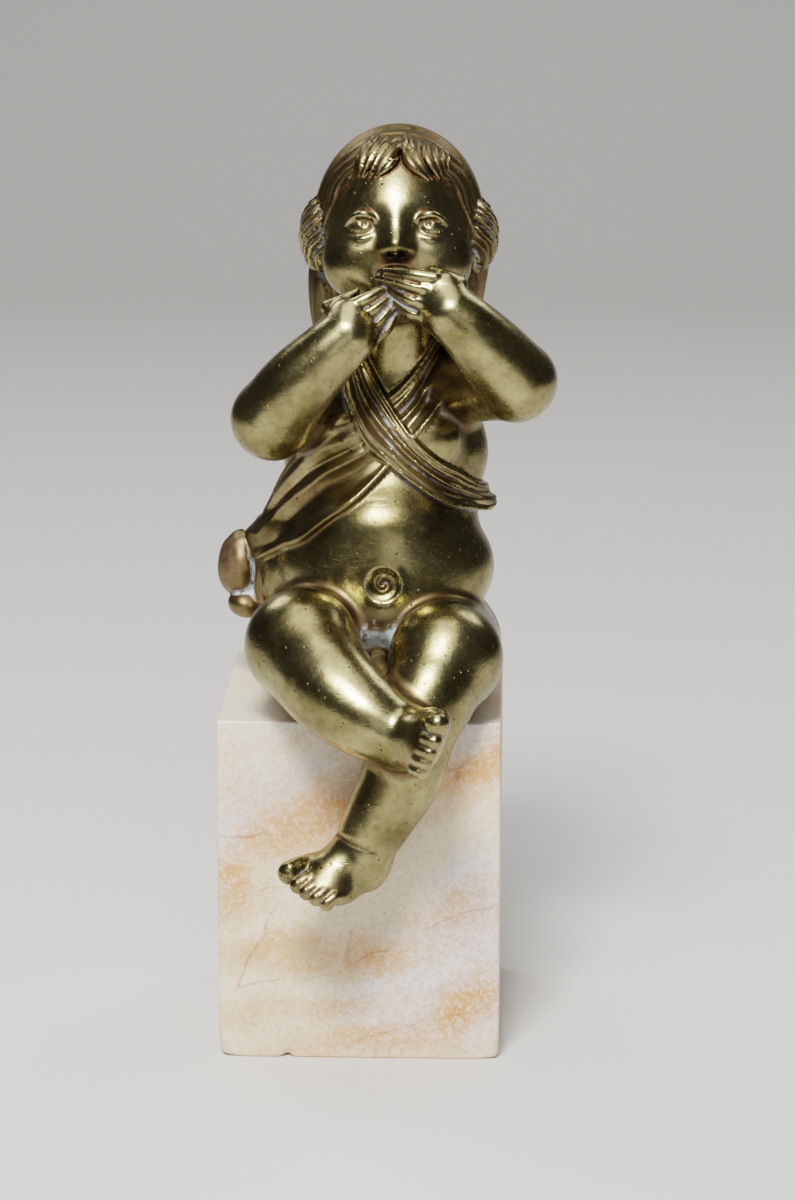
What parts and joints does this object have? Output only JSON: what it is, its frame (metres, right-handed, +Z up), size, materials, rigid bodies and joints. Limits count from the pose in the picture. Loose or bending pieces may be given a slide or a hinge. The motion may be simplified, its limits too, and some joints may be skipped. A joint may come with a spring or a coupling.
{
  "type": "statuette",
  "caption": "Small bronze statuette of a seated baby in a hooded scarf with both hands over the mouth, ankles crossed, sitting on the front edge of a marble block",
  "frame": {"origin": "middle of the block's flat underside", "axes": "+X to the viewer's right, +Y to the back, +Z up; the baby faces -Y"},
  "size_m": [0.0858, 0.1159, 0.2301],
  "materials": {
    "bronze": "polished cast bronze, golden olive, browner in the hollows",
    "marble": "honed onyx marble, cream white with soft ochre bands"
  },
  "bodies": {
    "root": {"bronze_baby": "bronze", "marble_block": "marble"}
  },
  "joints": []
}
